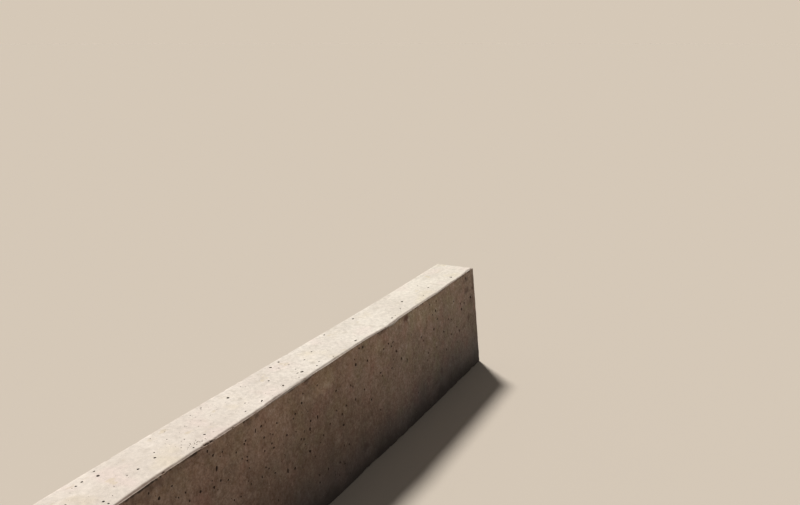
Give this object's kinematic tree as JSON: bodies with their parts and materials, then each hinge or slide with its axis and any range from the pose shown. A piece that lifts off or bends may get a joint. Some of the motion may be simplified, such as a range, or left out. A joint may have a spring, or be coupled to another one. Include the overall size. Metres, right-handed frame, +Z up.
{
  "type": "concrete kerb stone",
  "caption": "Straight cast concrete kerb unit with a trapezoidal section, flat trowelled top with rounded long edges, battered form-finished sides and square joint ends.",
  "frame": {"origin": "middle of the footprint, on the bedding plane that the kerb stands on", "axes": "+X along the kerb from joint to joint, +Z up, -Y out of the back face on the verge side, +Y out of the face towards the carriageway"},
  "size_m": [3, 0.3081, 0.5],
  "materials": {
    "concrete": "matt cast concrete: smooth trowelled top, off-the-form sides with small blowholes"
  },
  "bodies": {
    "root": {"kerb_stone": "concrete"}
  },
  "joints": []
}
